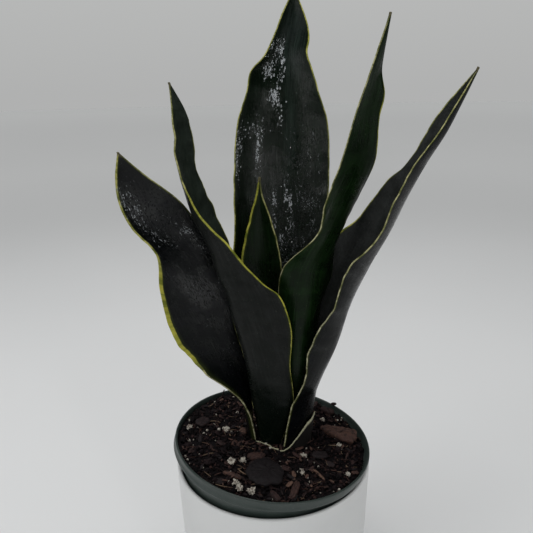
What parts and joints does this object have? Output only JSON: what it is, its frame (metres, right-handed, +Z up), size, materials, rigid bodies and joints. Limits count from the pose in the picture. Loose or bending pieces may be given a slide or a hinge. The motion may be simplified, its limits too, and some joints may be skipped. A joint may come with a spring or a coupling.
{
  "type": "potted snake plant",
  "caption": "Snake plant with tall channelled yellow-edged leaves, in potting mix in a soft nursery pot that leans inside a plain white cylindrical cover pot.",
  "frame": {"origin": "centre of the cover pot's flat base", "axes": "+Z up, +Y away from the pictured front, +X to the right seen from the front"},
  "size_m": [0.1699, 0.11, 0.3429],
  "materials": {
    "glazed_white": "satin white glaze",
    "nursery_plastic": "soft moulded dark green, faint ribs, water-spotted",
    "potting_mix": null,
    "rhizome": "fibrous underground stem",
    "leaf": "waxy wet leaf skin, dark green with a thin yellow margin",
    "sheath": "dry fibrous skin, pale edge",
    "bark": "weathered damp bark",
    "perlite": "dull porous grain"
  },
  "bodies": {
    "root": {"bark_chip_back": "bark", "bark_chip_dark": "bark", "bark_chip_front": "bark", "bark_chip_left": "bark", "bark_chip_round": "bark", "bark_slab_right": "bark", "bark_stick_front": "bark", "bark_stick_left": "bark", "bark_stick_rim": "bark", "basal_sheath": "sheath", "cover_pot": "glazed_white", "leaf_back_tall": "leaf", "leaf_far_right": "leaf", "leaf_left_broad": "leaf", "leaf_left_tall": "leaf", "leaf_new_centre": "leaf", "leaf_right_tall": "leaf", "nursery_pot": "nursery_plastic", "perlite_01": "perlite", "perlite_02": "perlite", "perlite_03": "perlite", "perlite_04": "perlite", "perlite_05": "perlite", "perlite_06": "perlite", "perlite_07": "perlite", "perlite_08": "perlite", "perlite_09": "perlite", "perlite_10": "perlite", "perlite_11": "perlite", "perlite_12": "perlite", "potting_mix": "potting_mix", "rhizome_crown": "rhizome", "twig_right": "bark"}
  },
  "joints": []
}
